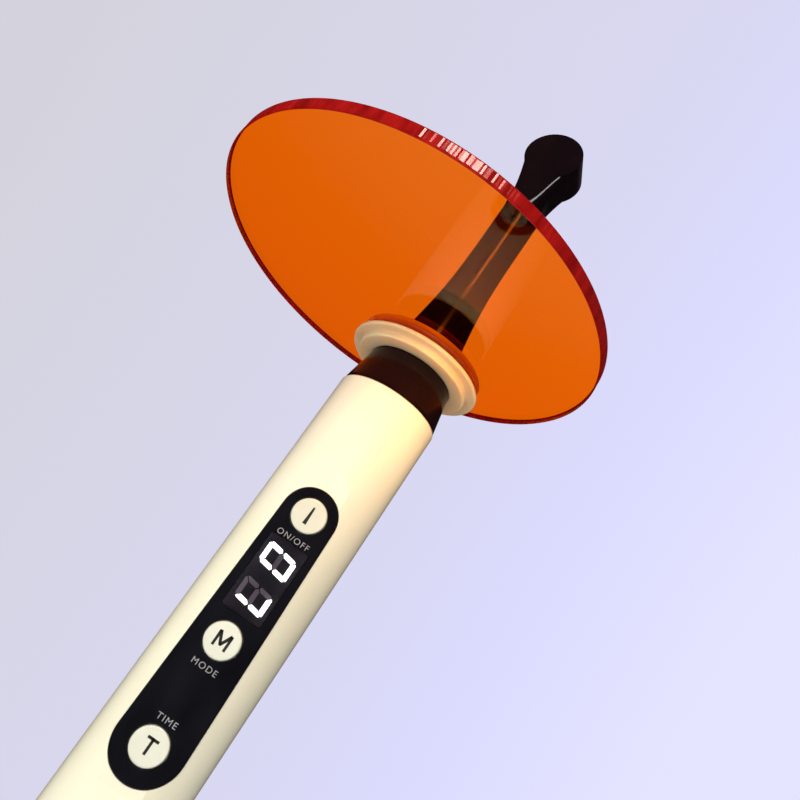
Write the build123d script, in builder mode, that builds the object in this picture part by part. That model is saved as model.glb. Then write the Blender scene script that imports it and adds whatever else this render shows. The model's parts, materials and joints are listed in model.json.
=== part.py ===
"""Cordless dental curing light: a pen-shaped handle with a turning light head and an eccentric eye shield.

The origin is the centre of the tail's end face. +Z runs along the handle towards the light head, and the
control panel faces -Y. Millimetres.
"""
from build123d import *
from math import cos, radians, sin, sqrt, tan
import os

os.makedirs("parts", exist_ok=True)

# ---------------------------------------------------------------- driving dimensions

# handle tube
handle_radius = 12.7
handle_bore_radius = 10.5
handle_top_z = 168.5
handle_top_round = 0.5
tail_cap_height = 22.0
tail_cap_step = 0.2
tail_cap_floor = 4.0

# flat scoop in the handle's front, with a ramp at each end
scoop_depth = 0.8
scoop_ramp = 3.5
scoop_low_z = 69.5
scoop_high_z = 146.5

# control panel: two end circles centred on the outer buttons, joined by tangents
power_z = 134.8
mode_z = 104.9
time_z = 82.2
panel_head_radius = 6.2
panel_tail_radius = 7.5
panel_crown_radius = 19.0
panel_proud = 0.15
panel_depth = 2.85
panel_ledge = 1.0
panel_gap = 0.08
panel_edge_round = 0.2

# buttons
button_radius = 3.8
button_proud = 0.35
button_gap = 0.15
button_hole_edge = 0.2
flange_clearance = 0.05
button_flange = 0.6
button_flange_thickness = 0.9
button_travel = 0.5
button_edge_round = 0.35

# display
display_z = 119.4
display_width = 9.2
display_length = 17.4
display_corner = 0.6
window_thickness = 1.0
display_gap = 0.05
digit_pitch = 8.35
digit_height = 7.1
digit_width = 4.85
digit_slant = 10.0
segment_width = 1.0
segment_gap = 0.16
segment_corner = 0.32
segment_thickness = 0.2
module_gap = 0.1

# circuit board and what it carries
board_face = 5.6
board_thickness = 1.6
board_side_gap = 0.88
board_low_z = 77.0
board_high_z = 143.0
switch_size = 6.0
switch_body_height = 2.9
plunger_radius = 1.7
plunger_clearance = 0.05
plunger_engagement = 0.8
plunger_floor_gap = 0.1
board_corner = 1.0
board_screw_side = 2.0
board_screw_inset = 2.6
screw_radius = 1.0
screw_head_radius = 1.9
screw_head_height = 1.2
screw_bite = 3.0
buzzer_radius = 4.5
buzzer_height = 3.2
buzzer_hole_radius = 0.75

# chassis that holds the board and the cell
chassis_gap = 0.12
chassis_wall = 1.25
chassis_bulkhead = 1.6
boss_back = 6.5
chassis_low_z = 36.0
chassis_headroom = 3.5

# battery cell, its contacts and the tail electronics
cell_gap = 0.13
cell_length = 34.5
cell_low_z = 40.0
cell_round = 0.6
nipple_radius = 2.8
nipple_height = 1.0
spring_radius = 4.2
spring_wire = 0.7
spring_turns = 5
tail_board_thickness = 1.2
tail_board_gap = 1.25
spigot_length = 10.0
spigot_gap = 0.05
spigot_wall = 2.6
seal_radius = 0.75
seal_z = 26.0
seal_groove_width = 1.8
insert_radius = 8.2
insert_depth = 2.2
insert_recess = 0.6
pin_radius = 1.5
pin_clearance = 1.0
ring_inner_radius = 4.8
ring_outer_radius = 6.2
tail_round = 1.6

# swivel between handle and light head
bush_length = 16.0
spindle_radius = 8.4
swivel_clearance = 0.05
swivel_lift = 0.15
friction_ring_radius = 0.8
friction_ring_depth = 7.5
friction_groove_width = 1.92
clip_thickness = 0.7
spindle_tail = 1.0
clip_reach = 0.357  # share of the gap between spindle and bore
clip_depth = 0.6
jack_plug_radius = 1.75
jack_plug_length = 12.0
jack_tip_round = 1.4
jack_head_length = 1.75
jack_clearance = 0.1
jack_socket_radius = 3.5
jack_socket_length = 12.0
jack_socket_floor = 0.5
jack_tip_gap = 0.5

# collar
collar_step = 0.35
collar_lip = 0.7
collar_top_radius = 10.5
collar_height = 11.2
collar_shoulder_round = 1.5
neck_root_radius = 5.5
neck_root_length = 16.0

# neck
neck_seat_radius = 8.45
neck_cone_height = 7.5
neck_cone_radius = 7.75
neck_waist_height = 21.3
neck_waist_radius = 6.05
neck_height = 55.3
neck_top_radius = 5.2
neck_bore_radius = 3.2
neck_socket_length = 5.0
neck_spigot_radius = 4.2
nearly_round = 0.98

# light head, turned about Z from the panel's direction towards -X
head_angle = 20.0
head_height = 17.3
head_radius = 7.75
head_thickness = 10.0
head_back_round = 0.5
head_front_round = 1.4
flare_sections = {5.5: (10.2, 2.5), 9.5: (11.7, 2.2), 13.5: (13.4, 1.2)}
lamp_bore_radius = 6.2
lamp_bore_floor = 2.6
slug_thickness = 1.2
chip_size = 3.6
chip_thickness = 0.9
reflector_throat = 2.7
reflector_mouth = 4.6
lens_radius = 5.2
lens_thickness = 1.1
lens_dome = 1.3
bezel_lip = 1.1
bezel_recess = 0.3
wire_radius = 0.55
wire_spread = 1.3
wire_pocket = 1.0

# eye shield and its grommet
shield_radius = 45.0
shield_thickness = 3.0
shield_seat = 1.4
shield_offset = 30.1
shield_angle = 20.0
shield_lean = 3.0
shield_lean_angle = -12.0
shield_edge = 0.35
shield_hole_radius = 11.2
grommet_hub_clearance = 0.1
grommet_face_clearance = 0.05
grommet_lip_radius = 16.9
grommet_lip_thickness = 1.0
grommet_ring_radius = 14.5
grommet_ring_height = 2.5
grommet_flange_radius = 16.0
grommet_flange_thickness = 1.5
grommet_round = 0.45
grommet_neck_clearance = 0.08
grommet_collar_clearance = 0.15

# ---------------------------------------------------------------- places worked out from them

front = handle_radius - scoop_depth                 # distance of the scoop's floor from the axis
panel_front = front + panel_proud
panel_back = panel_front - panel_depth
crown_centre_y = panel_crown_radius - panel_front
button_face = panel_front + button_proud
button_back = panel_back + button_flange_thickness
board_back = board_face - board_thickness
button_places = {"power": power_z, "mode": mode_z, "time": time_z}
spigot_radius = handle_bore_radius - spigot_gap
spigot_top_z = tail_cap_height + spigot_length
tail_cap_radius = handle_radius - tail_cap_step
tail_board_radius = spigot_radius - tail_board_gap
chassis_radius = handle_bore_radius - chassis_gap
chassis_inner_radius = chassis_radius - chassis_wall
cell_radius = chassis_inner_radius - cell_gap
board_width = 2 * (sqrt(handle_bore_radius**2 - board_face**2) - board_side_gap)
board_screw_x = board_width / 2 - board_screw_side
spindle_low_z = handle_top_z - bush_length - clip_thickness - 2 * swivel_lift - spindle_tail
friction_ring_z = handle_top_z - friction_ring_depth
chassis_high_z = spindle_low_z - chassis_headroom
jack_low_z = spindle_low_z - jack_plug_length
collar_low_z = handle_top_z + swivel_lift
collar_top_z = handle_top_z + collar_height
collar_base_radius = handle_radius - collar_step
neck_cone_z = collar_top_z + neck_cone_height
neck_waist_z = collar_top_z + neck_waist_height
neck_top_z = collar_top_z + neck_height
head_z = neck_top_z + head_height
shield_z = collar_top_z + shield_seat
head_turn = radians(head_angle)
lens_way = (sin(head_turn), cos(head_turn), 0)
side_way = (cos(head_turn), -sin(head_turn), 0)
wire_places = [(-wire_spread, 0), (wire_spread, 0)]


def front_plane(distance):
    """A plane parallel to XZ, facing the panel's side, at this distance from the axis."""
    return Plane.XZ.offset(distance)


def panel_outline(grow=0.0):
    """The panel's outline in the open sketch: two circles and their outer tangents."""
    for z, radius in ((power_z, panel_head_radius), (time_z, panel_tail_radius)):
        with Locations((0, z)):
            Circle(radius + grow)
    make_hull()


def crown_cut(distance):
    """Keep what lies behind the crowned face at this distance from the axis, in the open part."""
    with BuildSketch(Plane.XY.offset(scoop_low_z - panel_tail_radius)) as crown:
        with Locations((0, panel_crown_radius - distance)):
            Circle(panel_crown_radius)
    extrude(crown.sketch, amount=scoop_high_z - scoop_low_z + 2 * panel_tail_radius, mode=Mode.INTERSECT)


def level_plane(z):
    """A level plane at this height whose x runs along the light head's width."""
    return Plane(origin=(0, 0, z), x_dir=side_way, z_dir=(0, 0, 1))


def save(piece, name):
    """Label a finished piece and write it."""
    piece.part.label = name
    export_step(piece.part, f"parts/{name}.step")


# ---------------------------------------------------------------- handle

with BuildPart() as handle_shell:
    with BuildSketch(Plane.XY.offset(tail_cap_height)):
        Circle(handle_radius)
    extrude(amount=handle_top_z - tail_cap_height)
    fillet(handle_shell.edges(), handle_top_round)
    with BuildSketch(Plane.XY.offset(tail_cap_height)):
        Circle(handle_bore_radius)
    extrude(amount=handle_top_z - tail_cap_height, mode=Mode.SUBTRACT)
    with BuildSketch(Plane.YZ) as scoop:
        with BuildLine():
            Polyline(
                (-handle_radius, scoop_low_z),
                (-front, scoop_low_z + scoop_ramp),
                (-front, scoop_high_z - scoop_ramp),
                (-handle_radius, scoop_high_z),
                (-handle_radius - scoop_depth, scoop_high_z),
                (-handle_radius - scoop_depth, scoop_low_z),
                close=True,
            )
        make_face()
    extrude(amount=handle_radius, both=True, mode=Mode.SUBTRACT)
    with BuildSketch(front_plane(panel_back)):
        panel_outline(panel_gap)
    extrude(amount=handle_radius, mode=Mode.SUBTRACT)
    with BuildSketch(front_plane(board_back)):
        panel_outline(-panel_ledge)
    extrude(amount=handle_radius, mode=Mode.SUBTRACT)
save(handle_shell, "handle_shell")

# ---------------------------------------------------------------- control panel

with BuildPart() as control_panel:
    with BuildSketch(front_plane(panel_back)):
        panel_outline()
    extrude(amount=panel_depth + panel_proud)
    crown_cut(panel_front)
    fillet(control_panel.faces().sort_by(Axis.Y)[0].outer_wire().edges(), panel_edge_round)
    with BuildSketch(front_plane(panel_back)):
        with Locations(*[(0, z) for z in button_places.values()]):
            Circle(button_radius + button_gap)
        with Locations((0, display_z)):
            RectangleRounded(display_width, display_length, display_corner)
    extrude(amount=panel_depth + panel_proud, mode=Mode.SUBTRACT)
    with BuildSketch(front_plane(panel_back)):
        with Locations(*[(0, z) for z in button_places.values()]):
            Circle(button_radius + button_flange + button_gap)
    extrude(amount=button_flange_thickness + flange_clearance, mode=Mode.SUBTRACT)
    openings = control_panel.faces().sort_by(Axis.Y)[0].inner_wires()
    button_holes = [opening for opening in openings if opening.bounding_box().size.Z < display_length / 2]
    chamfer([edge for hole in button_holes for edge in hole.edges()], button_hole_edge)
save(control_panel, "control_panel")

with BuildPart() as display_window:
    with BuildSketch(front_plane(panel_front - 2 * window_thickness)):
        with Locations((0, display_z)):
            RectangleRounded(
                display_width - 2 * display_gap,
                display_length - 2 * display_gap,
                display_corner - display_gap,
            )
    extrude(amount=2 * window_thickness + panel_proud)
    crown_cut(panel_front)
    with BuildSketch(front_plane(0)):
        with Locations((0, display_z)):
            Rectangle(display_width, display_length)
    extrude(amount=panel_front - window_thickness, mode=Mode.SUBTRACT)
save(display_window, "display_window")

# ---------------------------------------------------------------- buttons

for button_name, button_z in button_places.items():
    with BuildPart() as button:
        with BuildSketch(front_plane(button_back - button_flange_thickness)):
            with Locations((0, button_z)):
                Circle(button_radius + button_flange)
        extrude(amount=button_flange_thickness)
        with BuildSketch(front_plane(button_back)):
            with Locations((0, button_z)):
                Circle(button_radius)
        extrude(amount=button_face - button_back)
        fillet(button.edges().sort_by(Axis.Y)[0], button_edge_round)
    save(button, f"{button_name}_button")

    switch_front = board_face + switch_body_height
    with BuildPart() as switch:
        with BuildSketch(front_plane(board_face)):
            with Locations((0, button_z)):
                Rectangle(switch_size, switch_size)
        extrude(amount=switch_body_height)
        with BuildSketch(front_plane(switch_front)):
            with Locations((0, button_z)):
                Circle(plunger_radius + plunger_clearance)
        extrude(amount=-(plunger_engagement + button_travel + plunger_floor_gap), mode=Mode.SUBTRACT)
    save(switch, f"{button_name}_switch")
    with BuildPart() as plunger:
        with BuildSketch(front_plane(switch_front - plunger_engagement)):
            with Locations((0, button_z)):
                Circle(plunger_radius)
        extrude(amount=panel_back - switch_front + plunger_engagement)
    save(plunger, f"{button_name}_plunger")

# ---------------------------------------------------------------- display

module_front = panel_front - window_thickness - segment_thickness - display_gap

with BuildPart() as display_module:
    with BuildSketch(front_plane(board_face)):
        with Locations((0, display_z)):
            RectangleRounded(
                display_width - 2 * module_gap,
                display_length - 2 * module_gap,
                display_corner - module_gap,
            )
    extrude(amount=module_front - board_face)
save(display_module, "display_module")


def segment_corners(name):
    """Corners of one of a digit's seven segments, on an upright digit, as right and up."""
    right, top, bar, gap = digit_width / 2, digit_height / 2, segment_width, segment_gap
    cut, mitre = 2 * segment_corner, segment_corner - gap / 2
    level = [
        (right - cut, top),
        (right - gap - mitre, top - mitre),
        (right - bar - gap, top - bar),
        (bar + gap - right, top - bar),
        (gap + mitre - right, top - mitre),
        (cut - right, top),
    ]
    upright = [
        (right - mitre, top - gap - mitre),
        (right, top - cut),
        (right, bar / 2 + gap - mitre),
        (right - bar / 2, gap),
        (right - bar, bar / 2 + gap),
        (right - bar, top - bar - gap),
    ]
    tip, shoulder = right - bar / 2 - gap, right - bar - gap
    middle = [
        (-tip, 0),
        (-shoulder, bar / 2),
        (shoulder, bar / 2),
        (tip, 0),
        (shoulder, -bar / 2),
        (-shoulder, -bar / 2),
    ]
    shape, mirror_x, mirror_y = {
        "a": (level, 1, 1),
        "b": (upright, 1, 1),
        "c": (upright, 1, -1),
        "d": (level, 1, -1),
        "e": (upright, -1, -1),
        "f": (upright, -1, 1),
        "g": (middle, 1, 1),
    }[name]
    return [(mirror_x * across, mirror_y * up) for across, up in shape]


def segments(lit):
    """All segments that are lit, or all that are dark, in the open sketch.

    The digits read 0 and 7, their tops point to +X, and they lean to the right.
    """
    lean_share = tan(radians(digit_slant))
    for digit_z, shown in ((display_z + digit_pitch / 2, "abcdef"), (display_z - digit_pitch / 2, "abc")):
        for name in "abcdefg":
            if (name in shown) == lit:
                corners = [(up, digit_z - across - up * lean_share) for across, up in segment_corners(name)]
                Polygon(*corners, align=None)


with BuildPart() as lit_segments:
    with BuildSketch(front_plane(module_front)):
        segments(True)
    extrude(amount=segment_thickness)
save(lit_segments, "lit_segments")

with BuildPart() as dark_segments:
    with BuildSketch(front_plane(module_front)):
        segments(False)
    extrude(amount=segment_thickness)
save(dark_segments, "dark_segments")

# ---------------------------------------------------------------- circuit board

board_mid_z = (board_low_z + board_high_z) / 2
board_length = board_high_z - board_low_z
screw_places = [
    (x, z)
    for x in (-board_screw_x, board_screw_x)
    for z in (board_low_z + board_screw_inset, board_high_z - board_screw_inset)
]

with BuildPart() as main_board:
    with BuildSketch(front_plane(board_back)):
        with Locations((0, board_mid_z)):
            RectangleRounded(board_width, board_length, board_corner)
        with Locations(*screw_places):
            Circle(screw_radius, mode=Mode.SUBTRACT)
    extrude(amount=board_thickness)
save(main_board, "main_board")

chip_places = {
    "controller": (0, 91.0, 7.0, 7.0, 1.2),
    "led_driver": (3.4, 101.0, 4.0, 5.0, 1.4),
    "inductor": (-3.2, 101.5, 5.0, 5.0, 2.8),
    "charger": (0, 121.5, 3.0, 4.0, 1.1),
    "capacitor": (4.8, 122.0, 2.0, 3.4, 1.6),
    "regulator": (-4.6, 122.0, 2.6, 3.0, 1.2),
}
with BuildPart() as board_components:
    for x, z, width, length, height in chip_places.values():
        with BuildSketch(front_plane(board_back - height)):
            with Locations((x, z)):
                Rectangle(width, length)
        extrude(amount=height)
save(board_components, "board_components")

with BuildPart() as buzzer:
    with BuildSketch(front_plane(board_back - buzzer_height)):
        with Locations((0, (chip_places["inductor"][1] + chip_places["charger"][1]) / 2)):
            Circle(buzzer_radius)
            Circle(buzzer_hole_radius, mode=Mode.SUBTRACT)
    extrude(amount=buzzer_height)
save(buzzer, "buzzer")

# ---------------------------------------------------------------- chassis

cell_top_z = cell_low_z + cell_length + nipple_height
screw_length = board_thickness + screw_bite

with BuildPart() as chassis:
    with BuildSketch(Plane.XY.offset(chassis_low_z)):
        Circle(chassis_radius)
        Circle(chassis_inner_radius, mode=Mode.SUBTRACT)
        with Locations((0, -handle_radius)):
            Rectangle(2 * handle_radius, 2 * handle_radius, mode=Mode.SUBTRACT)
    extrude(amount=chassis_high_z - chassis_low_z)
    for bulkhead_z in (board_low_z - chassis_bulkhead - chassis_gap, chassis_high_z - chassis_bulkhead):
        with BuildSketch(Plane.XY.offset(bulkhead_z)):
            Circle(chassis_radius)
            with Locations((0, -handle_radius - board_back)):
                Rectangle(2 * handle_radius, 2 * handle_radius, mode=Mode.SUBTRACT)
            Circle(jack_socket_radius, mode=Mode.SUBTRACT)
        extrude(amount=chassis_bulkhead)
    with BuildSketch(front_plane(-boss_back)):
        with Locations(*screw_places):
            Circle(screw_head_radius)
    extrude(amount=boss_back + board_back)
    with BuildSketch(front_plane(board_back)):
        with Locations(*screw_places):
            Circle(screw_radius)
    extrude(amount=-screw_bite, mode=Mode.SUBTRACT)
save(chassis, "chassis")

with BuildPart() as board_screws:
    with BuildSketch(front_plane(board_face - screw_length)):
        with Locations(*screw_places):
            Circle(screw_radius)
    extrude(amount=screw_length)
    with BuildSketch(front_plane(board_face)):
        with Locations(*screw_places):
            Circle(screw_head_radius)
    extrude(amount=screw_head_height)
save(board_screws, "board_screws")

# ---------------------------------------------------------------- battery

with BuildPart() as battery_cell:
    with BuildSketch(Plane.XY.offset(cell_low_z)):
        Circle(cell_radius)
    extrude(amount=cell_length)
    fillet(battery_cell.edges(), cell_round)
    with BuildSketch(Plane.XY.offset(cell_low_z + cell_length)):
        Circle(nipple_radius)
    extrude(amount=nipple_height)
save(battery_cell, "battery_cell")

with BuildPart() as battery_terminal:
    with BuildSketch(Plane.XY.offset(cell_top_z)):
        Circle(jack_socket_radius)
    extrude(amount=board_low_z - chassis_gap - cell_top_z)
save(battery_terminal, "battery_terminal")

tail_board_z = spigot_top_z
spring_low_z = tail_board_z + tail_board_thickness

with BuildPart() as battery_spring:
    with BuildLine():
        Helix(
            pitch=(cell_low_z - spring_low_z - spring_wire) / spring_turns,
            height=cell_low_z - spring_low_z - spring_wire,
            radius=spring_radius,
            center=(0, 0, spring_low_z + spring_wire / 2),
        )
    with BuildSketch(Plane(origin=(spring_radius, 0, spring_low_z + spring_wire / 2), z_dir=(0, 1, 0))):
        Circle(spring_wire / 2)
    sweep(is_frenet=True)
save(battery_spring, "battery_spring")

# ---------------------------------------------------------------- tail

with BuildPart() as tail_cap:
    with BuildSketch():
        Circle(tail_cap_radius)
    extrude(amount=tail_cap_height)
    fillet(tail_cap.edges().sort_by(Axis.Z)[0], tail_round)
    with BuildSketch(Plane.XY.offset(tail_cap_height)):
        Circle(spigot_radius)
    extrude(amount=spigot_length)
    with BuildSketch(Plane.XY.offset(tail_cap_floor)):
        Circle(spigot_radius - spigot_wall)
    extrude(amount=spigot_top_z - tail_cap_floor, mode=Mode.SUBTRACT)
    with BuildSketch():
        Circle(insert_radius)
    extrude(amount=insert_depth, mode=Mode.SUBTRACT)
    with BuildSketch():
        Circle(pin_radius + pin_clearance)
    extrude(amount=tail_cap_floor, mode=Mode.SUBTRACT)
    with BuildSketch(Plane.XZ):
        with Locations((spigot_radius, seal_z)):
            Rectangle(4 * seal_radius, seal_groove_width)
    revolve(axis=Axis.Z, mode=Mode.SUBTRACT)
save(tail_cap, "tail_cap")

with BuildPart() as tail_seal:
    with BuildSketch(Plane.XZ):
        with Locations((spigot_radius - seal_radius, seal_z)):
            Circle(seal_radius)
    revolve(axis=Axis.Z)
save(tail_seal, "tail_seal")

with BuildPart() as contact_insert:
    with BuildSketch(Plane.XY.offset(insert_recess)):
        Circle(insert_radius)
        Circle(pin_radius, mode=Mode.SUBTRACT)
    extrude(amount=insert_depth - insert_recess)
    with BuildSketch(Plane.XY.offset(insert_recess)):
        Circle(ring_outer_radius)
        Circle(ring_inner_radius, mode=Mode.SUBTRACT)
    extrude(amount=(insert_depth - insert_recess) / 2, mode=Mode.SUBTRACT)
save(contact_insert, "contact_insert")

with BuildPart() as charge_ring:
    with BuildSketch(Plane.XY.offset(insert_recess)):
        Circle(ring_outer_radius)
        Circle(ring_inner_radius, mode=Mode.SUBTRACT)
    extrude(amount=(insert_depth - insert_recess) / 2)
save(charge_ring, "charge_ring")

with BuildPart() as charge_pin:
    with BuildSketch(Plane.XY.offset(insert_recess)):
        Circle(pin_radius)
    extrude(amount=tail_board_z - insert_recess)
save(charge_pin, "charge_pin")

with BuildPart() as charge_board:
    with BuildSketch(Plane.XY.offset(tail_board_z)):
        Circle(tail_board_radius)
    extrude(amount=tail_board_thickness)
save(charge_board, "charge_board")

# ---------------------------------------------------------------- swivel

bush_low_z = handle_top_z - bush_length

with BuildPart() as swivel_bush:
    with BuildSketch(Plane.XY.offset(bush_low_z)):
        Circle(handle_bore_radius)
        Circle(spindle_radius + swivel_clearance, mode=Mode.SUBTRACT)
    extrude(amount=bush_length)
save(swivel_bush, "swivel_bush")

clip_z = bush_low_z - swivel_lift - clip_thickness
clip_inner_radius = spindle_radius - clip_depth
clip_outer_radius = spindle_radius + clip_reach * (handle_bore_radius - spindle_radius)

with BuildPart() as swivel_collar:
    with BuildSketch(Plane.XZ):
        with BuildLine():
            Polyline(
                (neck_root_radius, spindle_low_z),
                (spindle_radius, spindle_low_z),
                (spindle_radius, collar_low_z),
                (collar_base_radius, collar_low_z),
                (collar_base_radius, collar_low_z + collar_lip),
                (collar_top_radius, collar_top_z),
                (neck_root_radius, collar_top_z),
                close=True,
            )
        make_face()
    revolve(axis=Axis.Z)
    fillet(swivel_collar.edges().group_by(Axis.Z)[-1].sort_by(SortBy.RADIUS)[-1], collar_shoulder_round)
    with BuildSketch(Plane.XY.offset(clip_z)):
        Circle(spindle_radius + swivel_clearance)
        Circle(clip_inner_radius, mode=Mode.SUBTRACT)
    extrude(amount=clip_thickness, mode=Mode.SUBTRACT)
    with BuildSketch(Plane.XZ):
        with Locations((spindle_radius, friction_ring_z)):
            Rectangle(4 * friction_ring_radius, friction_groove_width)
    revolve(axis=Axis.Z, mode=Mode.SUBTRACT)
save(swivel_collar, "swivel_collar")

with BuildPart() as retaining_clip:
    with BuildSketch(Plane.XY.offset(clip_z)):
        Circle(clip_outer_radius)
        Circle(clip_inner_radius, mode=Mode.SUBTRACT)
        with Locations((0, spindle_radius)):
            Rectangle(spindle_radius / 2, spindle_radius, mode=Mode.SUBTRACT)
    extrude(amount=clip_thickness)
save(retaining_clip, "retaining_clip")

with BuildPart() as friction_ring:
    with BuildSketch(Plane.XZ):
        with Locations((spindle_radius - friction_ring_radius + swivel_clearance / 2, friction_ring_z)):
            Circle(friction_ring_radius)
    revolve(axis=Axis.Z)
save(friction_ring, "friction_ring")

with BuildPart() as jack_plug:
    with BuildSketch(level_plane(spindle_low_z)):
        Circle(neck_root_radius)
        with Locations(*wire_places):
            Circle(wire_radius, mode=Mode.SUBTRACT)
    extrude(amount=jack_head_length)
    with BuildSketch(Plane.XY.offset(jack_low_z)):
        Circle(jack_plug_radius)
    extrude(amount=jack_plug_length)
    fillet(jack_plug.edges().sort_by(Axis.Z)[0], jack_tip_round)
save(jack_plug, "jack_plug")

with BuildPart() as jack_socket:
    with BuildSketch(Plane.XY.offset(jack_low_z - jack_tip_gap - jack_socket_floor)):
        Circle(jack_socket_radius)
    extrude(amount=jack_socket_length)
    with BuildSketch(Plane.XY.offset(jack_low_z - jack_tip_gap)):
        Circle(jack_plug_radius + jack_clearance)
    extrude(amount=jack_socket_length, mode=Mode.SUBTRACT)
save(jack_socket, "jack_socket")

# ---------------------------------------------------------------- neck

heat_plug_low_z = collar_top_z - neck_root_length

with BuildPart() as neck_tube:
    with BuildSketch(Plane.XZ):
        with BuildLine():
            root = Polyline(
                (neck_bore_radius, heat_plug_low_z),
                (neck_root_radius, heat_plug_low_z),
                (neck_root_radius, collar_top_z),
                (neck_seat_radius, collar_top_z),
                (neck_cone_radius, neck_cone_z),
            )
            flank = Spline(
                (neck_cone_radius, neck_cone_z),
                (neck_waist_radius, neck_waist_z),
                (neck_top_radius, neck_top_z),
                tangents=[(neck_cone_radius - neck_seat_radius, neck_cone_z - collar_top_z), (0, 1)],
            )
            Polyline(
                flank @ 1,
                (neck_spigot_radius, neck_top_z),
                (neck_spigot_radius, neck_top_z - neck_socket_length),
                (neck_bore_radius, neck_top_z - neck_socket_length),
                (neck_bore_radius, heat_plug_low_z),
            )
        make_face()
    revolve(axis=Axis.Z)
save(neck_tube, "neck_tube")

# ---------------------------------------------------------------- light head

def head_plane(depth):
    """A plane across the lamp's axis, this far from the head's middle towards the lens."""
    return Plane(origin=(depth * lens_way[0], depth * lens_way[1], head_z), x_dir=side_way, z_dir=lens_way)


with BuildPart() as head_housing:
    with BuildSketch(head_plane(-head_thickness / 2)):
        Circle(head_radius)
    extrude(amount=head_thickness)
    with BuildSketch(level_plane(neck_top_z)):
        RectangleRounded(2 * neck_top_radius, 2 * neck_top_radius, neck_top_radius * nearly_round)
    for height, (width, corner) in flare_sections.items():
        with BuildSketch(level_plane(neck_top_z + height)):
            RectangleRounded(width, head_thickness, corner)
    loft()
    with BuildSketch(level_plane(neck_top_z - neck_socket_length)):
        Circle(neck_spigot_radius)
    extrude(amount=neck_socket_length + neck_spigot_radius)
    with BuildSketch(head_plane(lamp_bore_floor - head_thickness / 2)):
        Circle(lamp_bore_radius)
    extrude(amount=head_thickness, mode=Mode.SUBTRACT)
    with BuildSketch(level_plane(neck_top_z - neck_socket_length)):
        with Locations(*wire_places):
            Circle(wire_radius + swivel_clearance)
    wire_reach = head_z - lamp_bore_radius - neck_top_z + neck_socket_length + wire_pocket
    extrude(amount=wire_reach, mode=Mode.SUBTRACT)
save(head_housing, "head_housing")

slug_back = lamp_bore_floor - head_thickness / 2

with BuildPart() as led_board:
    with BuildSketch(head_plane(slug_back)):
        Circle(lamp_bore_radius)
    extrude(amount=slug_thickness)
save(led_board, "led_board")

chip_back = slug_back + slug_thickness

with BuildPart() as led_chip:
    with BuildSketch(head_plane(chip_back)):
        Rectangle(chip_size, chip_size)
    extrude(amount=chip_thickness)
save(led_chip, "led_chip")

lens_back = head_thickness / 2 - bezel_recess - lens_thickness - lens_dome

with BuildPart() as reflector:
    with BuildSketch(head_plane(chip_back)):
        Circle(lamp_bore_radius)
    extrude(amount=lens_back - chip_back)
    with BuildSketch(head_plane(chip_back)):
        Circle(reflector_throat)
    with BuildSketch(head_plane(lens_back)):
        Circle(reflector_mouth)
    loft(mode=Mode.SUBTRACT)
save(reflector, "reflector")

lamp_axis = Axis((0, 0, head_z), lens_way)


def lamp_section(depth):
    """A level plane through the lamp's axis: x along the head's width, y towards the lens."""
    return Plane(origin=head_plane(depth).origin, x_dir=side_way, z_dir=(0, 0, 1))


with BuildPart() as lens:
    with BuildSketch(lamp_section(lens_back)):
        with BuildLine():
            rim = Polyline((0, 0), (lens_radius, 0), (lens_radius, lens_thickness))
            dome = TangentArc(
                rim @ 1,
                (0, lens_thickness + lens_dome),
                tangent=(-1, 0),
                tangent_from_first=False,
            )
            Line(dome @ 1, (0, 0))
        make_face()
    revolve(axis=lamp_axis)
save(lens, "lens")

with BuildPart() as lens_bezel:
    with BuildSketch(head_plane(lens_back)):
        Circle(lamp_bore_radius)
        Circle(lens_radius, mode=Mode.SUBTRACT)
    extrude(amount=lens_thickness)
    with BuildSketch(head_plane(lens_back + lens_thickness)):
        Circle(lamp_bore_radius)
        Circle(lens_radius, mode=Mode.SUBTRACT)
    extrude(amount=bezel_lip)
save(lens_bezel, "lens_bezel")

with BuildPart() as lamp_wires:
    with BuildSketch(level_plane(spindle_low_z)):
        with Locations(*wire_places):
            Circle(wire_radius)
    extrude(amount=head_z - lamp_bore_radius - spindle_low_z)
save(lamp_wires, "lamp_wires")

# ---------------------------------------------------------------- eye shield

# The shield's centre lies off the neck, on the side away from the lens. Its plane leans: the side at the lean
# angle is the one that rises towards the head. The hole, the grommet's groove and the turning axis share that
# lean; the grommet's bore stays in line with the neck. Both angles turn from the panel's direction towards -X.
lean = radians(shield_lean)
lean_turn = radians(shield_lean_angle)
shield_up = Vector(sin(lean) * sin(lean_turn), sin(lean) * cos(lean_turn), cos(lean))
shield_turn = radians(shield_angle)
shield_out = Vector(-sin(shield_turn), -cos(shield_turn), 0)
shield_out = (shield_out - shield_up * shield_out.dot(shield_up)).normalized()


def shield_plane(height):
    """A plane parallel to the shield, this far above its tail-side face."""
    return Plane(origin=Vector(0, 0, shield_z) + shield_up * height, x_dir=shield_out, z_dir=shield_up)


with BuildPart() as shield_disc:
    with BuildSketch(shield_plane(0)):
        with Locations((shield_offset, 0)):
            Circle(shield_radius)
        Circle(shield_hole_radius, mode=Mode.SUBTRACT)
    extrude(amount=shield_thickness)
    chamfer(shield_disc.edges().filter_by(GeomType.CIRCLE).sort_by(SortBy.RADIUS)[-2:], shield_edge)
save(shield_disc, "shield_disc")

hub_radius = shield_hole_radius - grommet_hub_clearance

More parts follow.
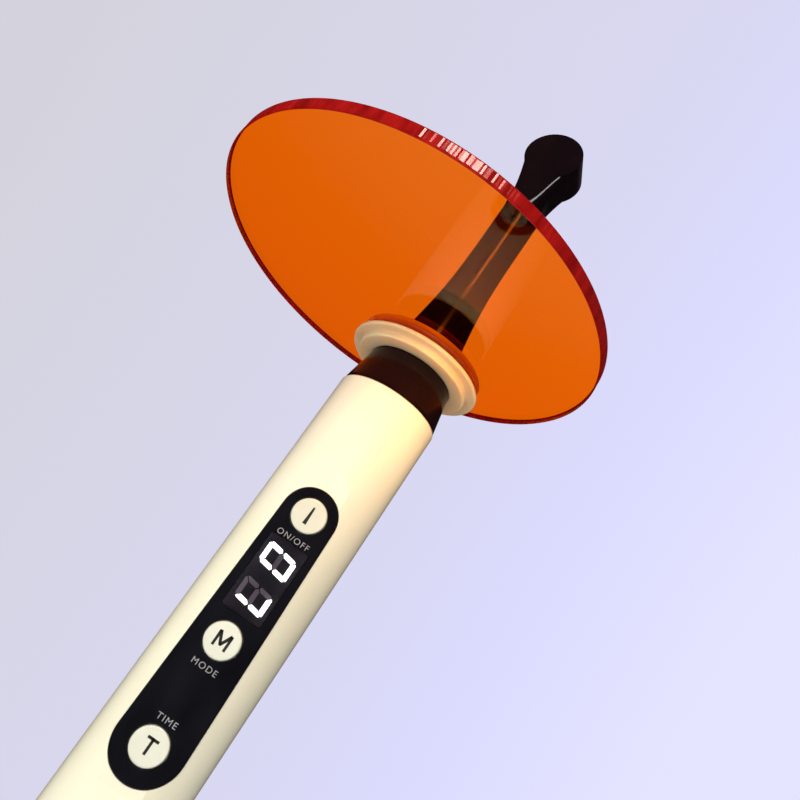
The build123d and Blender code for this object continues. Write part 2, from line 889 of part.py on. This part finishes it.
with BuildPart() as grommet:
    with BuildSketch(shield_plane(-grommet_face_clearance - grommet_lip_thickness)):
        Circle(grommet_lip_radius)
    extrude(amount=grommet_lip_thickness)
    with BuildSketch(shield_plane(-grommet_face_clearance - grommet_ring_height)):
        Circle(grommet_ring_radius)
    extrude(amount=grommet_ring_height)
    with BuildSketch(shield_plane(shield_thickness + grommet_face_clearance)):
        Circle(grommet_flange_radius)
    extrude(amount=grommet_flange_thickness)
    fillet(grommet.edges(), grommet_round)
    with BuildSketch(shield_plane(-grommet_face_clearance - grommet_lip_thickness / 2)):
        Circle(hub_radius)
    extrude(amount=shield_thickness + 2 * grommet_face_clearance + grommet_lip_thickness)
    cone_slope = (neck_seat_radius - neck_cone_radius) / (neck_cone_z - collar_top_z)
    bore_reach = 2 * grommet_ring_height
    with BuildSketch(Plane.XY.offset(collar_top_z - bore_reach)):
        Circle(neck_seat_radius + grommet_neck_clearance + cone_slope * bore_reach)
    with BuildSketch(Plane.XY.offset(neck_cone_z + bore_reach)):
        Circle(neck_cone_radius + grommet_neck_clearance - cone_slope * bore_reach)
    loft(mode=Mode.SUBTRACT)
    with BuildSketch(Plane.XY.offset(collar_low_z + collar_lip)):
        Circle(collar_base_radius + grommet_collar_clearance)
    with BuildSketch(Plane.XY.offset(collar_top_z + grommet_collar_clearance)):
        Circle(collar_top_radius + grommet_collar_clearance)
    loft(mode=Mode.SUBTRACT)
save(grommet, "grommet")
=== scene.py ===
"""Looks of a cordless dental curing light: materials, printing, eye shield and studio. Metres."""

import bmesh
import bpy
import json
import math
import random
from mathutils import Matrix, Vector
from mathutils.geometry import tessellate_polygon


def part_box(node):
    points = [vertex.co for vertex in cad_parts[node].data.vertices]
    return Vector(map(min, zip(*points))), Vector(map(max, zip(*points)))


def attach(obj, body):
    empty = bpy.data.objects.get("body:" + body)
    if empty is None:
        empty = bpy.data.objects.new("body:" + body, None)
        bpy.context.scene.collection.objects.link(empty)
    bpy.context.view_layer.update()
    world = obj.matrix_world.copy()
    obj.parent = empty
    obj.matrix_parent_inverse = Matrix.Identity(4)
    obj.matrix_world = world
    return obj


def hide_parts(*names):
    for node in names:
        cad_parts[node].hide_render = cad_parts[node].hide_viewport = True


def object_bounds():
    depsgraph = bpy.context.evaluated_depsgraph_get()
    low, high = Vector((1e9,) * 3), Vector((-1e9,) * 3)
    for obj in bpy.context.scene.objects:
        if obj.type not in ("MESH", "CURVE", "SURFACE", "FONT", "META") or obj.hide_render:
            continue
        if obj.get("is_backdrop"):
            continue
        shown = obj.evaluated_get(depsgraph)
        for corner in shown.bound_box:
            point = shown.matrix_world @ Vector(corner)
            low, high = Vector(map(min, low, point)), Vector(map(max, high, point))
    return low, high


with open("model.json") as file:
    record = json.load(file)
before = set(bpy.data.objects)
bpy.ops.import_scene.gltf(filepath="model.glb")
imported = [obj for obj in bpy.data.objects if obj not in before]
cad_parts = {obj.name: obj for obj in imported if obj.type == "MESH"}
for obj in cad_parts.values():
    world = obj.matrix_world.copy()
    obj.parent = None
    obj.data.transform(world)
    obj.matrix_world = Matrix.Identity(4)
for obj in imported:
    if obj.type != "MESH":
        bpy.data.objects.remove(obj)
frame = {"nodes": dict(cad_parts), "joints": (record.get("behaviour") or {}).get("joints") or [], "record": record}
cad_low, cad_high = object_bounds()

MM = 0.001


# ---------------------------------------------------------------- material helpers


def new_material(name):
    """A new node material: the material, its nodes, its links and its Principled shader."""
    material = bpy.data.materials.new(name)
    material.use_nodes = True
    nodes, links = material.node_tree.nodes, material.node_tree.links
    return material, nodes, links, nodes["Principled BSDF"]


def set_shader(shader, **values):
    """Constant values on a Principled shader's own sockets."""
    names = {
        "color": "Base Color",
        "roughness": "Roughness",
        "metallic": "Metallic",
        "ior": "IOR",
        "coat": "Coat Weight",
        "coat_roughness": "Coat Roughness",
        "transmission": "Transmission Weight",
        "subsurface": "Subsurface Weight",
        "subsurface_radius": "Subsurface Radius",
        "subsurface_scale": "Subsurface Scale",
        "specular": "Specular IOR Level",
        "specular_tint": "Specular Tint",
        "emission": "Emission Color",
        "emission_strength": "Emission Strength",
    }
    for key, value in values.items():
        if key in ("color", "emission", "specular_tint"):
            value = (*value, 1.0)
        shader.inputs[names[key]].default_value = value


def object_noise(nodes, links, scale, detail=3.0, stretch=(1, 1, 1), roughness=0.5):
    """Noise fixed to the object, in features per metre, stretched along its axes."""
    place = nodes.new("ShaderNodeTexCoord")
    mapping = nodes.new("ShaderNodeMapping")
    mapping.inputs["Scale"].default_value = stretch
    noise = nodes.new("ShaderNodeTexNoise")
    noise.inputs["Scale"].default_value = scale
    noise.inputs["Detail"].default_value = detail
    noise.inputs["Roughness"].default_value = roughness
    links.new(place.outputs["Object"], mapping.inputs["Vector"])
    links.new(mapping.outputs["Vector"], noise.inputs["Vector"])
    return noise.outputs["Fac"]


def ramp(nodes, links, source, stops):
    """A colour ramp over a value; stops are (position, colour)."""
    node = nodes.new("ShaderNodeValToRGB")
    while len(node.color_ramp.elements) < len(stops):
        node.color_ramp.elements.new(0.5)
    for element, (position, color) in zip(node.color_ramp.elements, stops):
        element.position = position
        element.color = (*color, 1.0)
    links.new(source, node.inputs["Fac"])
    return node.outputs["Color"]


def span(nodes, links, source, low, high, from_low=0.3, from_high=0.7):
    """A value mapped to the range from low to high."""
    node = nodes.new("ShaderNodeMapRange")
    node.inputs["From Min"].default_value = from_low
    node.inputs["From Max"].default_value = from_high
    node.inputs["To Min"].default_value = low
    node.inputs["To Max"].default_value = high
    links.new(source, node.inputs["Value"])
    return node.outputs["Result"]


def add_bump(nodes, links, shader, height, strength, distance):
    """Bump from a height value; distance in metres."""
    bump = nodes.new("ShaderNodeBump")
    bump.inputs["Strength"].default_value = strength
    bump.inputs["Distance"].default_value = distance
    links.new(height, bump.inputs["Height"])
    links.new(bump.outputs["Normal"], shader.inputs["Normal"])


def moulded(name, dark, light, roughness, coat=0.0, grain=700):
    """Moulded plastic or rubber: slow colour variation, uneven gloss and a faint surface texture."""
    material, nodes, links, shader = new_material(name)
    slow = object_noise(nodes, links, 60)
    fine = object_noise(nodes, links, grain, detail=5)
    links.new(ramp(nodes, links, slow, [(0.3, dark), (0.7, light)]), shader.inputs["Base Color"])
    links.new(span(nodes, links, slow, roughness * 0.85, roughness * 1.2), shader.inputs["Roughness"])
    add_bump(nodes, links, shader, fine, 0.25, 0.00001)
    set_shader(shader, coat=coat, coat_roughness=0.05)
    return material


def metal(name, color, roughness):
    """Metal with uneven colour and gloss and a very fine surface texture."""
    material, nodes, links, shader = new_material(name)
    fine = object_noise(nodes, links, 900, detail=4)
    darker = tuple(0.88 * part for part in color)
    links.new(ramp(nodes, links, fine, [(0.35, darker), (0.65, color)]), shader.inputs["Base Color"])
    links.new(span(nodes, links, fine, roughness * 0.7, roughness * 1.3), shader.inputs["Roughness"])
    add_bump(nodes, links, shader, fine, 0.15, 0.000004)
    set_shader(shader, metallic=1.0)
    return material


# ---------------------------------------------------------------- materials


def ivory_shell():
    """Glossy ivory plastic with faint moulding waves and a few handling scratches along the handle."""
    material, nodes, links, shader = new_material("ivory_shell")
    slow = object_noise(nodes, links, 35, detail=2)
    links.new(
        ramp(nodes, links, slow, [(0.3, (0.83, 0.80, 0.615)), (0.7, (0.87, 0.845, 0.675))]),
        shader.inputs["Base Color"],
    )
    scratches = object_noise(nodes, links, 1600, detail=6, stretch=(1.0, 1.0, 0.03), roughness=0.7)
    thin = span(nodes, links, scratches, 0.0, 1.0, 0.66, 0.74)
    patches = span(nodes, links, object_noise(nodes, links, 45, detail=1), 0.0, 1.0, 0.52, 0.62)
    scratched = nodes.new("ShaderNodeMath")
    scratched.operation = "MULTIPLY"
    links.new(thin, scratched.inputs[0])
    links.new(patches, scratched.inputs[1])
    waves = object_noise(nodes, links, 420, detail=3)
    height = nodes.new("ShaderNodeMath")
    height.operation = "SUBTRACT"
    links.new(waves, height.inputs[0])
    links.new(scratched.outputs["Value"], height.inputs[1])
    gloss = span(nodes, links, scratched.outputs["Value"], 0.21, 0.5, 0.0, 1.0)
    links.new(gloss, shader.inputs["Roughness"])
    add_bump(nodes, links, shader, height.outputs["Value"], 0.3, 0.00001)
    set_shader(
        shader,
        subsurface=0.2,
        subsurface_radius=(1.0, 0.92, 0.7),
        subsurface_scale=0.0010,
        coat=0.35,
        coat_roughness=0.08,
    )
    return material


def black_panel():
    """High-gloss black plastic with faint smudges in the gloss."""
    material, nodes, links, shader = new_material("black_panel")
    smudges = object_noise(nodes, links, 120, detail=4, stretch=(1, 1, 0.5))
    links.new(
        ramp(nodes, links, smudges, [(0.3, (0.0035, 0.0035, 0.0055)), (0.75, (0.008, 0.008, 0.011))]),
        shader.inputs["Base Color"],
    )
    links.new(span(nodes, links, smudges, 0.06, 0.16), shader.inputs["Roughness"])
    set_shader(shader, specular=0.35)
    return material


def black_gloss():
    """Polished black plastic of the neck, head and collar, with a trace of red in its depth."""
    material, nodes, links, shader = new_material("black_gloss")
    slow = object_noise(nodes, links, 90, detail=3)
    links.new(
        ramp(nodes, links, slow, [(0.3, (0.003, 0.002, 0.003)), (0.75, (0.009, 0.003, 0.004))]),
        shader.inputs["Base Color"],
    )
    links.new(span(nodes, links, slow, 0.10, 0.18), shader.inputs["Roughness"])
    add_bump(nodes, links, shader, object_noise(nodes, links, 500, detail=3), 0.2, 0.000008)
    set_shader(shader, specular=0.15)
    return material


def clear_plastic(name, absorb, density, ior=1.49, **more):
    """Clear plastic whose colour comes from its depth, with a faint haze in patches."""
    material, nodes, links, shader = new_material(name)
    haze = object_noise(nodes, links, 150, detail=4)
    links.new(span(nodes, links, haze, 0.0, 0.012, 0.55, 0.8), shader.inputs["Roughness"])
    set_shader(shader, color=(1, 1, 1), transmission=1.0, ior=ior, **more)
    volume = nodes.new("ShaderNodeVolumeAbsorption")
    volume.inputs["Color"].default_value = (*absorb, 1.0)
    volume.inputs["Density"].default_value = density
    links.new(volume.outputs["Volume"], nodes["Material Output"].inputs["Volume"])
    return material


def acrylic_edge():
    """The shield's sawn edge, painted deep red with a faint painted glow for light that has come a long way
    through the acrylic.
    """
    material, nodes, links, shader = new_material("acrylic_edge")
    saw = object_noise(nodes, links, 500, detail=4, stretch=(1, 1, 0.2))
    # painted light: the deep red, streaked along the saw marks, stands in for light carried through the acrylic
    links.new(
        ramp(nodes, links, saw, [(0.3, (0.16, 0.0015, 0.0015)), (0.7, (0.34, 0.004, 0.003))]),
        shader.inputs["Base Color"],
    )
    links.new(span(nodes, links, saw, 0.10, 0.25), shader.inputs["Roughness"])
    add_bump(nodes, links, shader, saw, 0.2, 0.00001)
    set_shader(shader, specular_tint=(1.0, 0.6, 0.5))
    # painted glow: the edge gives off a faint red light though it is no lamp
    set_shader(shader, emission=(0.30, 0.002, 0.002), emission_strength=0.15)
    return material


def milky_silicone():
    """Translucent milky silicone, its own beige pushed orange and brighter as painted light from the shield, with
    a soft skin and a little dust.
    """
    material, nodes, links, shader = new_material("milky_silicone")
    slow = object_noise(nodes, links, 110, detail=3)
    # painted light: the orange tint and extra brightness stand in for amber light that comes through the shield
    links.new(
        ramp(nodes, links, slow, [(0.3, (0.93, 0.58, 0.32)), (0.7, (0.96, 0.67, 0.42))]),
        shader.inputs["Base Color"],
    )
    links.new(span(nodes, links, slow, 0.32, 0.45), shader.inputs["Roughness"])
    add_bump(nodes, links, shader, object_noise(nodes, links, 900, detail=5), 0.3, 0.00002)
    set_shader(
        shader,
        subsurface=1.0,
        subsurface_radius=(1.0, 0.62, 0.38),
        subsurface_scale=0.0035,
        transmission=0.15,
        ior=1.41,
    )
    return material


def glowing(name, color, strength):
    """A lit segment whose glow is slightly uneven."""
    material, nodes, links, shader = new_material(name)
    soft = object_noise(nodes, links, 260, detail=2)
    links.new(
        ramp(nodes, links, soft, [(0.2, tuple(0.93 * part for part in color)), (0.8, color)]),
        shader.inputs["Emission Color"],
    )
    set_shader(shader, color=color, roughness=0.4, emission_strength=strength)
    return material


def circuit_board():
    """Green solder mask with raised tracks under it and tinned pads."""
    material, nodes, links, shader = new_material("circuit_board")
    place = nodes.new("ShaderNodeTexCoord")
    tracks = nodes.new("ShaderNodeTexVoronoi")
    tracks.distance = "MANHATTAN"
    tracks.feature = "F1"
    tracks.inputs["Scale"].default_value = 260
    links.new(place.outputs["Object"], tracks.inputs["Vector"])
    tin, mask_edge = (0.75, 0.74, 0.70), (0.012, 0.12, 0.045)
    mask, track = (0.01, 0.085, 0.035), (0.02, 0.17, 0.07)
    stops = [(0.10, tin), (0.14, mask_edge), (0.50, mask), (0.55, track)]
    links.new(ramp(nodes, links, tracks.outputs["Distance"], stops), shader.inputs["Base Color"])
    add_bump(nodes, links, shader, tracks.outputs["Distance"], 0.2, 0.00003)
    set_shader(shader, roughness=0.35, coat=0.3, coat_roughness=0.15)
    return material


ACRYLIC_COLOR = (0.997, 0.752, 0.0)
ACRYLIC_IOR = 1.29  # below real acrylic, so that the disc's reflections stay weak

MATERIALS = {
    "ivory_shell": ivory_shell(),
    "black_panel": black_panel(),
    "black_gloss": black_gloss(),
    "milky_silicone": milky_silicone(),
    "circuit_board": circuit_board(),
    "orange_acrylic": clear_plastic(
        "orange_acrylic", ACRYLIC_COLOR, 1700, ior=ACRYLIC_IOR, specular_tint=(1.0, 0.6, 0.2)
    ),
    "acrylic_edge": acrylic_edge(),
    "smoked_window": clear_plastic("smoked_window", (0.0, 0.0, 0.03), 620),
    "clear_lens": clear_plastic("clear_lens", (0.99, 0.995, 1.0), 30, ior=1.52),
    "ivory_button": moulded("ivory_button", (0.62, 0.64, 0.52), (0.70, 0.715, 0.60), 0.28, coat=0.25),
    "black_plastic": moulded("black_plastic", (0.016, 0.016, 0.018), (0.026, 0.025, 0.027), 0.5),
    "plunger_plastic": moulded("plunger_plastic", (0.02, 0.02, 0.02), (0.035, 0.034, 0.033), 0.45),
    "component_black": moulded("component_black", (0.015,) * 3, (0.03,) * 3, 0.55, grain=1500),
    "chassis_plastic": moulded("chassis_plastic", (0.62, 0.62, 0.59), (0.70, 0.70, 0.67), 0.5),
    "bush_plastic": moulded("bush_plastic", (0.74, 0.74, 0.70), (0.82, 0.82, 0.79), 0.4),
    "cell_sleeve": moulded("cell_sleeve", (0.02, 0.11, 0.36), (0.03, 0.15, 0.45), 0.3, coat=0.3),
    "seal_rubber": moulded("seal_rubber", (0.012, 0.012, 0.012), (0.022, 0.022, 0.021), 0.6),
    "wire_insulation": moulded("wire_insulation", (0.40, 0.02, 0.015), (0.50, 0.035, 0.025), 0.45),
    "led_yellow": moulded("led_yellow", (0.80, 0.62, 0.10), (0.88, 0.72, 0.16), 0.3, coat=0.5),
    "dark_segments": moulded("dark_segments", (0.52, 0.48, 0.49), (0.64, 0.59, 0.60), 0.5),
    "display_grey": moulded(
        "display_grey", (0.01, 0.009, 0.011), (0.017, 0.015, 0.018), 0.6, grain=1800
    ),
    "lit_segments": glowing("lit_segments", (1.0, 1.0, 1.0), 5.0),
    "steel": metal("steel", (0.56, 0.56, 0.57), 0.25),
    "nickel": metal("nickel", (0.62, 0.59, 0.54), 0.22),
    "gold_contact": metal("gold_contact", (0.90, 0.62, 0.22), 0.18),
    "aluminium_core": metal("aluminium_core", (0.78, 0.79, 0.80), 0.35),
    "bright_metal": metal("bright_metal", (0.90, 0.90, 0.91), 0.06),
    "white_ink": moulded("white_ink", (0.22, 0.22, 0.24), (0.30, 0.30, 0.32), 0.5, grain=2500),
    "black_ink": moulded("black_ink", (0.008, 0.008, 0.008), (0.014, 0.014, 0.014), 0.45, grain=2500),
}


def dress(piece, name):
    """Give a piece, or each of its material slots, one material."""
    if not piece.material_slots:
        piece.data.materials.append(MATERIALS[name])
    for slot in piece.material_slots:
        slot.material = MATERIALS[name]


SLOT_OF = {row["node"]: row["material_slot"] for row in frame["record"]["subparts"]}
for node_name, node in frame["nodes"].items():
    dress(node, SLOT_OF[node_name])
dress(frame["nodes"]["display_module"], "display_grey")


def link(name, mesh):
    """A new object in the scene from a mesh."""
    piece = bpy.data.objects.new(name, mesh)
    bpy.context.scene.collection.objects.link(piece)
    return piece


# ---------------------------------------------------------------- eye shield

SHIELD_RADIUS = 45.0 * MM
SHIELD_THICKNESS = 3.0 * MM
HOLE_RADIUS = 11.2 * MM
HOLE_SEGMENTS = 120
EDGE_CUT = 0.35 * MM
EDGE_FACETS = 720
SAW_MARK = 0.11 * MM


def eye_shield():
    """The orange disc with its eccentric hole, and upright facets left by the saw round its edge."""
    turn = next(joint for joint in frame["joints"] if joint["name"] == "shield_turn")
    up = Vector(turn["axis"]).normalized()
    hole = Vector(turn["pos_m"])
    low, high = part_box("shield_disc")
    centre = (low + high) / 2 - up * SHIELD_THICKNESS / 2
    across = (hole - centre).normalized()
    along = up.cross(across)
    offset = (hole - centre).length
    draw = random.Random(7)
    marks = [draw.uniform(-SAW_MARK, 0) for step in range(EDGE_FACETS)]
    level = [0.0] * EDGE_FACETS
    saw_low, saw_high = EDGE_CUT + SAW_MARK, SHIELD_THICKNESS - EDGE_CUT - SAW_MARK

    def circle(radii, height, middle=0.0):
        """A ring of vertices, one at each radius, at a height; its middle is moved toward the hole."""
        points = []
        for step, radius in enumerate(radii):
            angle = 2 * math.pi * step / len(radii)
            flat = across * (middle + radius * math.cos(angle)) + along * (radius * math.sin(angle))
            points.append(shape.verts.new(centre + flat + up * height))
        return points

    shape = bmesh.new()
    outer = [
        circle([SHIELD_RADIUS - cut + mark for mark in uneven], height)
        for cut, uneven, height in (
            (EDGE_CUT, level, 0.0),
            (0.0, level, EDGE_CUT),
            (0.0, marks, saw_low),
            (0.0, marks, saw_high),
            (0.0, level, SHIELD_THICKNESS - EDGE_CUT),
            (EDGE_CUT, level, SHIELD_THICKNESS),
        )
    ]
    bore_radii = [HOLE_RADIUS] * HOLE_SEGMENTS
    inner = [circle(bore_radii, height, offset) for height in (0.0, SHIELD_THICKNESS)]
    for rings, is_edge in ((outer, True), (inner, False)):
        for ring, following in zip(rings, rings[1:]):
            for step in range(len(ring)):
                after = (step + 1) % len(ring)
                face = shape.faces.new((ring[step], ring[after], following[after], following[step]))
                face.material_index = 1 if is_edge else 0
                face.smooth = not is_edge or ring in (outer[0], outer[-2])
    for rim, bore in ((outer[0], inner[0]), (outer[-1], inner[-1])):
        loops = [[v.co for v in rim], [v.co for v in bore]]
        corners = rim + bore
        for triangle in tessellate_polygon(loops):
            shape.faces.new([corners[index] for index in triangle])
    bmesh.ops.recalc_face_normals(shape, faces=shape.faces)
    mesh = bpy.data.meshes.new("eye_shield")
    shape.to_mesh(mesh)
    shape.free()
    shield = link("eye_shield", mesh)
    shield.data.materials.append(MATERIALS["orange_acrylic"])
    shield.data.materials.append(MATERIALS["acrylic_edge"])
    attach(shield, "shield")
    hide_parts("shield_disc")


eye_shield()


# ---------------------------------------------------------------- printing

INK = 0.03 * MM
BEND_STEP = 0.35 * MM
CAPITAL_SHARE = 0.729  # height of a capital in the built-in font, over the font's size


def letters(text, height, spacing):
    """Letters in the XY plane, centred, of this capital height and a hair thick, as a mesh."""
    curve = bpy.data.curves.new("letters", "FONT")
    curve.body = text
    curve.align_x = "CENTER"
    curve.align_y = "CENTER"
    curve.size = height / CAPITAL_SHARE
    curve.space_character = spacing
    curve.resolution_u = 6
    curve.extrude = INK / 2
    source = bpy.data.objects.new("letters", curve)
    bpy.context.scene.collection.objects.link(source)
    bpy.context.view_layer.update()
    depsgraph = bpy.context.evaluated_depsgraph_get()
    mesh = bpy.data.meshes.new_from_object(source.evaluated_get(depsgraph))
    bpy.data.objects.remove(source)
    return mesh


def strokes(bars):
    """Straight strokes in the XY plane, a hair thick, as a mesh; a bar is two ends and their widths."""
    mesh = bpy.data.meshes.new("strokes")
    shape = bmesh.new()
    for start, end, start_width, end_width in bars:
        start, end = Vector(start) * MM, Vector(end) * MM
        way = (end - start).normalized()
        side = Vector((-way.y, way.x))
        first, second = side * start_width * MM / 2, side * end_width * MM / 2
        corners = [start - first, start + first, end + second, end - second]
        face = shape.faces.new([shape.verts.new((*corner, INK / 2)) for corner in corners])
        raised = bmesh.ops.extrude_face_region(shape, geom=[face])["geom"]
        lowered = [vertex for vertex in raised if isinstance(vertex, bmesh.types.BMVert)]
        bmesh.ops.translate(shape, verts=lowered, vec=(0, 0, -INK))
    bmesh.ops.recalc_face_normals(shape, faces=shape.faces)
    shape.to_mesh(mesh)
    shape.free()
    return mesh


def print_on(name, mesh, surface, z, body, ink):
    """Lay a flat mesh on the front: x stays, y becomes height above z, surface(x) gives the depth."""
    shape = bmesh.new()
    shape.from_mesh(mesh)
    low = min(v.co.x for v in shape.verts)
    high = max(v.co.x for v in shape.verts)
    cut = low + BEND_STEP
    while cut < high:
        everything = shape.verts[:] + shape.edges[:] + shape.faces[:]
        bmesh.ops.bisect_plane(shape, geom=everything, plane_co=(cut, 0, 0), plane_no=(1, 0, 0))
        cut += BEND_STEP
    for vertex in shape.verts:
        x, up, lift = vertex.co
        vertex.co = (x, surface(x) - lift - INK / 2, z + up)
    bmesh.ops.recalc_face_normals(shape, faces=shape.faces)
    shape.to_mesh(mesh)
    shape.free()
    piece = link(name, mesh)
    piece.data.materials.clear()
    piece.data.materials.append(MATERIALS[ink])
    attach(piece, body)
    return piece


CROWN_RADIUS = 19.0 * MM
panel_low, panel_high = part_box("control_panel")


def crown(x):
    """The crowned face of the panel."""
    return panel_low.y + CROWN_RADIUS - math.sqrt(CROWN_RADIUS**2 - x * x)


LABEL_HEIGHT = 1.35 * MM
LABEL_SPACING = 1.22
BUTTON_RADIUS = 3.8 * MM
GAP_ABOVE = 1.5 * MM
GAP_BELOW = 2.05 * MM
STROKE = 0.57
MARKS = {
    "power": [((0, -2.0), (0, 2.0), 0.85, 0.40)],
    "mode": [
        ((-1.32, -1.65), (-1.32, 1.65), STROKE, STROKE),
        ((1.32, -1.65), (1.32, 1.65), STROKE, STROKE),
        ((-1.28, 1.65), (0.05, -1.0), 0.66, 0.60),
        ((1.28, 1.65), (-0.05, -1.0), 0.66, 0.60),
    ],
    "time": [((-1.25, 1.42), (1.25, 1.42), STROKE, STROKE), ((0, -1.65), (0, 1.60), STROKE, STROKE)],
}

LABELS = {
    "power": ("ON/OFF", -BUTTON_RADIUS - GAP_BELOW),
    "mode": ("MODE", -BUTTON_RADIUS - GAP_BELOW),
    "time": ("TIME", BUTTON_RADIUS + GAP_ABOVE),
}

for button, (label, offset) in LABELS.items():
    low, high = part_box(f"{button}_button")
    face_y = low.y
    middle_z = (low.z + high.z) / 2
    mark, body = strokes(MARKS[button]), f"{button}_button"
    printed = print_on(f"{button}_mark", mark, lambda x: face_y, middle_z, body, "black_ink")
    word = letters(label, LABEL_HEIGHT, LABEL_SPACING)
    printed = print_on(f"{button}_label", word, crown, middle_z + offset, "handle", "white_ink")


# ---------------------------------------------------------------- studio


def area_light(name, place, target, size, power, color, glint=False):
    """A rectangular light aimed at a point; only a glint shows in gloss, and it lights nothing else."""
    data = bpy.data.lights.new(name, "AREA")
    data.shape = "RECTANGLE"
    data.size, data.size_y = size
    data.energy = power
    data.color = color
    light = bpy.data.objects.new(name, data)
    light.location = place
    light.rotation_euler = (Vector(target) - Vector(place)).to_track_quat("-Z", "Y").to_euler()
    light.visible_glossy = glint
    light.visible_diffuse = not glint
    light.visible_transmission = False
    light.visible_camera = False
    bpy.context.scene.collection.objects.link(light)


def studio():
    """A lavender sky that shows brighter than it lights, a pale floor fading into it, and six lights."""
    world = bpy.data.worlds.new("studio")
    bpy.context.scene.world = world
    world.use_nodes = True
    nodes, links = world.node_tree.nodes, world.node_tree.links
    place = nodes.new("ShaderNodeTexCoord")
    split = nodes.new("ShaderNodeSeparateXYZ")
    links.new(place.outputs["Generated"], split.inputs["Vector"])
    across = span(nodes, links, split.outputs["X"], 0.0, 1.0, -1.0, 1.0)
    backdrop = ramp(
        nodes,
        links,
        across,
        [
            (0.23, (0.66, 0.65, 0.72)),
            (0.37, (0.68, 0.67, 0.80)),
            (0.53, (0.70, 0.69, 0.90)),
            (0.60, (0.71, 0.71, 1.0)),
            (0.70, (0.78, 0.78, 1.0)),
        ],
    )
    path = nodes.new("ShaderNodeLightPath")

    def choose(fac, first, second):
        """The second colour where fac is 1, else the first; a colour is a socket or three numbers."""
        mix = nodes.new("ShaderNodeMixRGB")
        links.new(path.outputs[fac], mix.inputs["Fac"])
        for socket, color in (("Color1", first), ("Color2", second)):
            if isinstance(color, tuple):
                mix.inputs[socket].default_value = (*color, 1.0)
            else:
                links.new(color, mix.inputs[socket])
        return mix.outputs["Color"]

    brighter = nodes.new("ShaderNodeVectorMath")
    brighter.operation = "MULTIPLY"
    links.new(backdrop, brighter.inputs[0])
    brighter.inputs[1].default_value = (1.18, 1.0, 1.0)
    overhead = span(nodes, links, split.outputs["Z"], 0.0, 1.0, 0.0, 1.0)
    sheen = ramp(nodes, links, overhead, [(0.50, (0.012, 0.011, 0.012)), (0.95, (0.16, 0.155, 0.16))])
    seen = choose("Is Glossy Ray", (0.40, 0.395, 0.385), sheen)
    seen = choose("Is Transmission Ray", seen, brighter.outputs["Vector"])
    seen = choose("Is Camera Ray", seen, backdrop)
    links.new(seen, nodes["Background"].inputs["Color"])
    nodes["Background"].inputs["Strength"].default_value = 1.0

    floor_mesh = bpy.data.meshes.new("floor")
    shape = bmesh.new()
    bmesh.ops.create_circle(shape, cap_ends=True, radius=0.6, segments=96)
    shape.to_mesh(floor_mesh)
    shape.free()
    floor = link("floor", floor_mesh)
    floor.location.z = cad_low.z
    material, nodes, links, shader = new_material("pale_floor")
    set_shader(shader, color=(0.80, 0.80, 0.86), roughness=0.6, specular=0.2)
    place = nodes.new("ShaderNodeTexCoord")
    length = nodes.new("ShaderNodeVectorMath")
    length.operation = "LENGTH"
    links.new(place.outputs["Object"], length.inputs[0])
    fade = span(nodes, links, length.outputs["Value"], 0.0, 1.0, 0.10, 0.24)
    clear = nodes.new("ShaderNodeBsdfTransparent")
    blend = nodes.new("ShaderNodeMixShader")
    links.new(fade, blend.inputs["Fac"])
    links.new(shader.outputs["BSDF"], blend.inputs[1])
    links.new(clear.outputs["BSDF"], blend.inputs[2])
    links.new(blend.outputs["Shader"], nodes["Material Output"].inputs["Surface"])
    floor.data.materials.append(material)
    floor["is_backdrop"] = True

    middle, neck = (0, 0, 0.15), (0.002, -0.008, 0.162)
    white, cream, warm = (1.0, 0.995, 0.95), (1.0, 0.98, 0.95), (1.0, 0.95, 0.88)
    amber, rose = (1.0, 0.50, 0.08), (1.0, 0.97, 0.97)
    area_light("key", (-0.55, -0.35, 0.35), middle, (0.5, 0.5), 2.0, white)
    area_light("fill", (0.05, -0.70, 0.25), middle, (0.5, 0.4), 1.3, white)
    area_light("bounce", (-0.05, -0.32, 0.10), (0, 0, 0.19), (0.2, 0.1), 0.45, warm)
    area_light("top", (0.12, 0.10, 0.65), middle, (0.45, 0.45), 0.6, cream)
    area_light("glow", (0.016, -0.036, 0.176), neck, (0.03, 0.02), 0.014, amber)
    area_light("glint", (-0.02, -0.30, 0.364), (0, -0.07, 0.18), (0.07, 0.12), 0.7, rose, glint=True)


def camera():
    """The camera low in front of the panel, tilted up to the eye shield."""
    data = bpy.data.cameras.new("camera")
    data.lens = 38.25
    data.sensor_width = 36.0
    data.clip_start = 0.005
    view = bpy.data.objects.new("camera", data)
    view.location = (0.01002, -0.18859, 0.10102)
    view.rotation_euler = [math.radians(turn) for turn in (114.58, -32.08, -11.01)]
    bpy.context.scene.collection.objects.link(view)
    bpy.context.scene.camera = view


studio()
camera()
bpy.context.scene.view_settings.view_transform = "Standard"

low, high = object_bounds()
